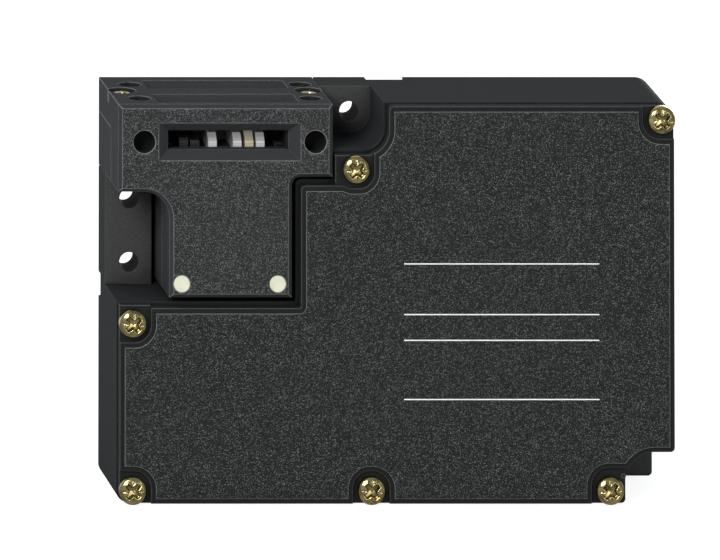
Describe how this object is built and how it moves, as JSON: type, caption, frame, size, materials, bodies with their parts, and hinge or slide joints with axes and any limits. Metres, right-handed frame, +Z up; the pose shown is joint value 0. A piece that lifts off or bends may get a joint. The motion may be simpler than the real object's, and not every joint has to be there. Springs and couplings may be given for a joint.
{
  "type": "tongue interlock switch",
  "caption": "Flat guard-locking interlock switch: T-shaped tongue head, coded cam, switching slide, solenoid lock bolt and contact blocks in a sealed moulded case.",
  "frame": {"origin": "centre of the bounding box's footprint, on the flat underside", "axes": "+X along the case away from the head, +Z up, the front face with the cover looks along -Y"},
  "size_m": [0.13, 0.0312, 0.09],
  "materials": {
    "case_plastic": "glass-fibre filled thermoplastic, fine spark-eroded grain, black",
    "cover_plastic": "the same plastic, coarser grain",
    "head_plastic": "the same plastic, coarse grain",
    "gasket_rubber": "matt black",
    "plug_rubber": "matt black",
    "yellow_zinc": "zinc plated and yellow chromated",
    "head_screw_steel": "zinc plated, pale yellow",
    "cream_plastic": "unfilled, cream",
    "cam_plastic": "dark grey, smooth",
    "axle_steel": "ground",
    "disc_steel": "stamped, bare edge",
    "disc_yellow": "stamped, yellow chromated",
    "slide_plastic": "natural acetal",
    "spring_steel": "drawn wire",
    "contact_silver": "silver plated",
    "contact_plastic": "thermoset, brown-black",
    "bolt_steel": "nickel plated",
    "yoke_steel": "zinc plated strip",
    "bobbin_plastic": "glass-filled, natural",
    "copper_wire": "enamelled copper",
    "terminal_plastic": "grey",
    "clamp_brass": "nickel-free brass",
    "terminal_steel": "zinc plated",
    "plug_plastic": "black, smooth"
  },
  "bodies": {
    "housing": {"rear_case": "case_plastic", "front_cover": "cover_plastic", "head_housing": "head_plastic", "head_base": "head_plastic", "cover_gasket": "gasket_rubber", "bottom_plug_seal": "plug_rubber", "side_plug_seal": "plug_rubber", "cover_screws": "yellow_zinc", "head_screws": "head_screw_steel", "retaining_pins": "cream_plastic", "cam_axle": "axle_steel", "slide_spring": "spring_steel", "return_spring": "spring_steel", "tappet_spring": "spring_steel", "tongue_fixed_contacts": "contact_silver", "monitor_fixed_contacts": "contact_silver", "tongue_contact_block": "contact_plastic", "monitor_contact_block": "contact_plastic", "pole_core": "bolt_steel", "solenoid_yoke": "yoke_steel", "solenoid_bobbin": "bobbin_plastic", "coil_winding": "copper_wire", "terminal_block": "terminal_plastic", "terminal_clamps": "clamp_brass", "terminal_screws": "terminal_steel", "bottom_entry_plug": "plug_plastic", "side_entry_plug": "plug_plastic"},
    "cam": {"cam_rotor": "cam_plastic", "coding_disc_1": "disc_steel", "coding_disc_2": "disc_steel", "coding_disc_3": "disc_steel", "coding_disc_4": "disc_steel", "coding_disc_5": "disc_yellow", "coding_disc_6": "disc_steel"},
    "slide": {"switch_slide": "slide_plastic", "upper_contact_bridge": "contact_silver", "lower_contact_bridge": "contact_silver", "bridge_springs": "spring_steel"},
    "bolt": {"lock_bolt": "bolt_steel", "solenoid_plunger": "bolt_steel", "plunger_clip": "spring_steel"},
    "tappet": {"monitor_tappet": "slide_plastic", "monitor_bridge": "contact_silver"}
  },
  "joints": [
    {"name": "cam_turn", "type": "hinge", "parent": "housing", "child": "cam", "pos_m": [-0.039, 0.0006, 0.074], "axis": [-1, 0, 0], "range_deg": [0, 60]},
    {"name": "slide_travel", "type": "slide", "parent": "housing", "child": "slide", "axis": [0, 0, 1], "range_m": [0, 0.004], "deforming": ["slide_spring"]},
    {"name": "bolt_travel", "type": "slide", "parent": "housing", "child": "bolt", "axis": [-1, 0, 0], "range_m": [0, 0.0042], "stiffness_N_per_m": 250, "springref_m": -0.002, "deforming": ["return_spring"]},
    {"name": "tappet_travel", "type": "slide", "parent": "housing", "child": "tappet", "axis": [-1, 0, 0], "range_m": [0, 0.0042], "deforming": ["tappet_spring"]}
  ],
  "couplings": [
    {"joint": "cam_turn", "follows": "slide_travel", "rad_per_m": 261.8},
    {"joint": "tappet_travel", "follows": "bolt_travel", "ratio": 1}
  ]
}
